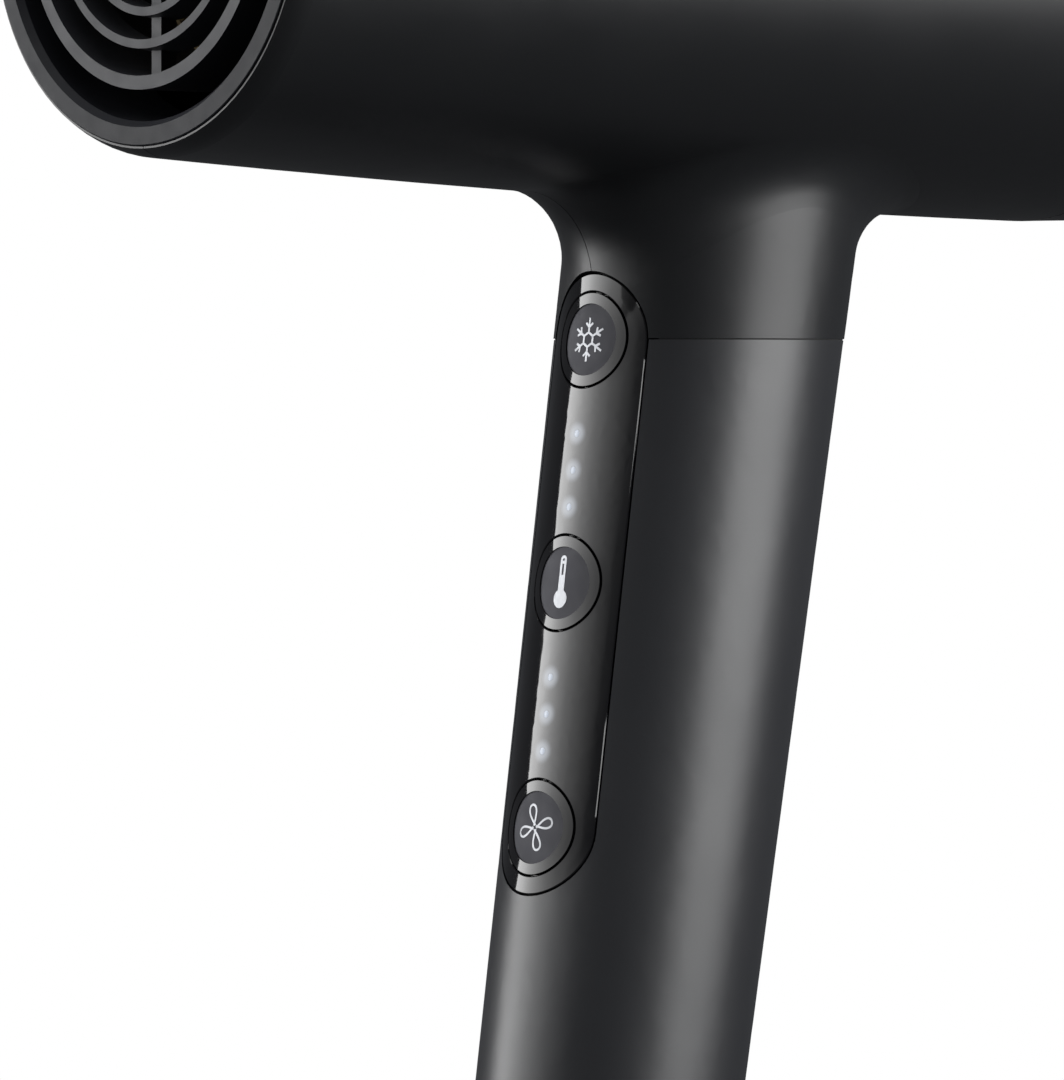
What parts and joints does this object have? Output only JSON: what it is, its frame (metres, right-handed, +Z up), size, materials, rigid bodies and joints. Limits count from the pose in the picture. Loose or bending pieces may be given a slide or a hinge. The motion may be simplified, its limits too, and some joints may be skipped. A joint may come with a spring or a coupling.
{
  "type": "hair dryer",
  "caption": "Handheld hair dryer: round barrel on a leaning oval handle, ring outlet grille, glossy control strip with press buttons, pull-off rear filter cap.",
  "frame": {"origin": "middle of the handle's flat base", "axes": "+Z up, +X towards the rear intake (the barrel blows along -X), +Y to the dryer's right"},
  "size_m": [0.181, 0.077, 0.2467],
  "materials": {
    "head_shell": "satin black moulded shell, fine texture",
    "outlet_metal": "satin gunmetal",
    "sleeve": "satin charcoal",
    "panel_gloss": "glossy smoked black",
    "button_gloss": "glossy smoked black",
    "button_matte": "fine matte black",
    "cap": "satin black",
    "knob": "satin black",
    "base_plastic": "moulded black",
    "inner_plastic": "glass-filled black",
    "rubber": "matt rubber",
    "mica": "mica board",
    "heater_wire": "oxidised resistance ribbon",
    "aluminium": "machined",
    "steel": "bright",
    "magnet": "nickel plated",
    "copper": "enamelled copper wire",
    "mesh_steel": "woven steel mesh",
    "board_green": "solder mask",
    "component_black": "moulded package",
    "led_white": "clear over white",
    "clear_guide": "frosted clear",
    "lead_insulation": "silicone sleeve"
  },
  "bodies": {
    "dryer": {"bearing_plate": "inner_plastic", "board_components": "component_black", "board_screws": "steel", "contact_domes": "steel", "control_board": "board_green", "control_panel": "panel_gloss", "cord_gland": "rubber", "duct_screws": "steel", "end_cap": "base_plastic", "end_cap_screws": "steel", "front_bearing": "steel", "guard_magnets": "magnet", "handle_core": "inner_plastic", "handle_sleeve": "sleeve", "head_shell_left": "head_shell", "head_shell_right": "head_shell", "heater_duct": "inner_plastic", "heater_leads": "lead_insulation", "heating_coils": "heater_wire", "indicator_leds": "led_white", "inlet_guard": "base_plastic", "light_guides": "clear_guide", "mica_plate_level": "mica", "mica_plate_upright": "mica", "mica_sleeve": "mica", "motor_carrier": "inner_plastic", "motor_damper_front": "rubber", "motor_damper_rear": "rubber", "motor_housing": "aluminium", "motor_leads": "lead_insulation", "motor_stator": "steel", "motor_windings": "copper", "outlet_grille": "outlet_metal", "outlet_rim": "outlet_metal", "power_leads": "lead_insulation", "power_switch_body": "inner_plastic", "rear_bearing": "steel", "tact_switches": "inner_plastic", "terminal_block": "inner_plastic", "thermal_cutout": "steel", "thermal_fuse": "steel"},
    "filter_cap": {"filter_cap": "cap", "filter_mesh": "mesh_steel", "cap_magnets": "magnet"},
    "rotor": {"impeller": "aluminium", "rotor_shaft": "steel", "rotor_magnet": "magnet"},
    "cool_shot_button": {"cool_shot_button": "button_gloss", "cool_shot_face": "button_matte", "cool_shot_plunger": "inner_plastic"},
    "temperature_button": {"temperature_button": "button_gloss", "temperature_face": "button_matte", "temperature_plunger": "inner_plastic"},
    "airflow_button": {"airflow_button": "button_gloss", "airflow_face": "button_matte", "airflow_plunger": "inner_plastic"},
    "power_switch": {"power_switch_knob": "knob"}
  },
  "joints": [
    {"name": "cool_shot_press", "type": "slide", "parent": "dryer", "child": "cool_shot_button", "axis": [0.9872, 0, -0.1597], "range_m": [0, 0.0006], "stiffness_N_per_m": 1500, "springref_m": -0.0004},
    {"name": "temperature_press", "type": "slide", "parent": "dryer", "child": "temperature_button", "axis": [0.9872, 0, -0.1597], "range_m": [0, 0.0006], "stiffness_N_per_m": 1500, "springref_m": -0.0004},
    {"name": "airflow_press", "type": "slide", "parent": "dryer", "child": "airflow_button", "axis": [0.9872, 0, -0.1597], "range_m": [0, 0.0006], "stiffness_N_per_m": 1500, "springref_m": -0.0004},
    {"name": "power_switch_slide", "type": "slide", "parent": "dryer", "child": "power_switch", "axis": [-0.1597, 0, -0.9872], "range_m": [0, 0.005]},
    {"name": "fan_spin", "type": "hinge", "parent": "dryer", "child": "rotor", "pos_m": [0.07, 0, 0.2081], "axis": [1, 0, 0], "continuous": true},
    {"name": "filter_cap_pull", "type": "slide", "parent": "dryer", "child": "filter_cap", "axis": [1, 0, 0], "range_m": [0, 0.03]}
  ]
}
